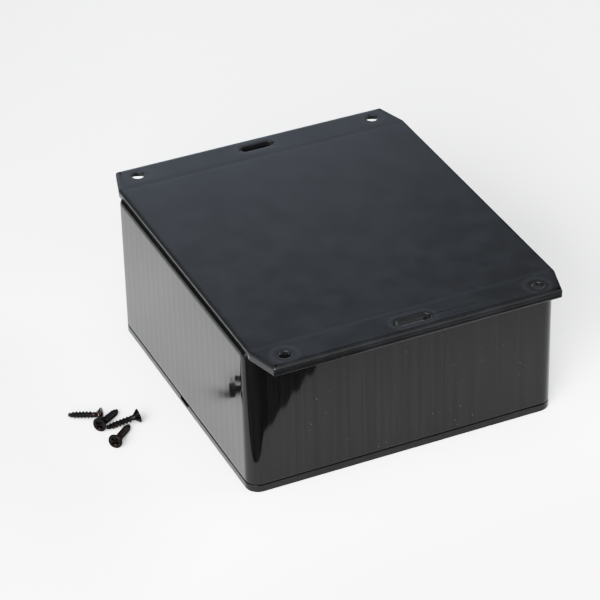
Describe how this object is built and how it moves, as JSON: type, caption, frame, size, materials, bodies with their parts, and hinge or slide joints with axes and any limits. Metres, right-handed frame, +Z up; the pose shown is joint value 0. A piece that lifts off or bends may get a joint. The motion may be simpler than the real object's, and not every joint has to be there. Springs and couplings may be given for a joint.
{
  "type": "cellular signal booster",
  "caption": "Flanged black plastic signal booster case on its screw-on cover, with two antenna ports and a power socket on one side and its cover screws lying beside it.",
  "frame": {"origin": "centre of the cover's underside, the face that the booster stands on", "axes": "+Z up towards the flange's mounting face, +X to the right along the front edge and towards the wall with the ports, +Y to the rear"},
  "size_m": [0.1705, 0.1456, 0.06],
  "materials": {
    "housing_plastic": "gloss black moulded ABS",
    "cover_plastic": "gloss black moulded ABS",
    "black_screw": "black oxide steel with worn brown edges",
    "board": "green solder mask",
    "zinc": "bright zinc",
    "nickel": "nickel plate",
    "tinplate": "tinplate",
    "ceramic": "fired ceramic",
    "chip": "moulded chip package",
    "aluminium": "plain aluminium",
    "pad": "soft thermal pad",
    "clear": "clear moulded light pipe",
    "ferrite": "ferrite"
  },
  "bodies": {
    "cover": {"cover": "cover_plastic"},
    "housing": {"housing": "housing_plastic", "board_screw_1": "zinc", "board_screw_2": "zinc", "board_screw_3": "zinc", "board_screw_4": "zinc", "capacitor_1": "aluminium", "capacitor_2": "aluminium", "controller_chip": "chip", "dc_jack": "chip", "donor_connector": "nickel", "donor_nut": "nickel", "donor_washer": "zinc", "downlink_amplifier": "chip", "downlink_duplexer": "ceramic", "downlink_shield": "tinplate", "heat_sink": "aluminium", "light_pipe": "clear", "main_board": "board", "power_inductor": "ferrite", "regulator_chip": "chip", "server_connector": "nickel", "server_nut": "nickel", "server_washer": "zinc", "status_led": "ceramic", "thermal_pad": "pad", "uplink_amplifier": "chip", "uplink_duplexer": "ceramic", "uplink_shield": "tinplate"},
    "screw_1": {"cover_screw_1": "black_screw"},
    "screw_2": {"cover_screw_2": "black_screw"},
    "screw_3": {"cover_screw_3": "black_screw"},
    "screw_4": {"cover_screw_4": "black_screw"}
  },
  "joints": [
    {"name": "housing_lift", "type": "slide", "parent": "cover", "child": "housing", "axis": [0, 0, 1], "range_m": [0, 0.07]},
    {"name": "screw_1_lift", "type": "slide", "parent": "cover", "child": "screw_1", "axis": [-0.155, 0.268, 0.9509], "range_m": [0, 0.04]},
    {"name": "screw_2_lift", "type": "slide", "parent": "cover", "child": "screw_2", "axis": [-0.18, -0.104, 0.9781], "range_m": [0, 0.04]},
    {"name": "screw_3_lift", "type": "slide", "parent": "cover", "child": "screw_3", "axis": [0.18, -0.104, 0.9781], "range_m": [0, 0.04]},
    {"name": "screw_4_lift", "type": "slide", "parent": "cover", "child": "screw_4", "axis": [0, -0.309, 0.9511], "range_m": [0, 0.04]}
  ]
}
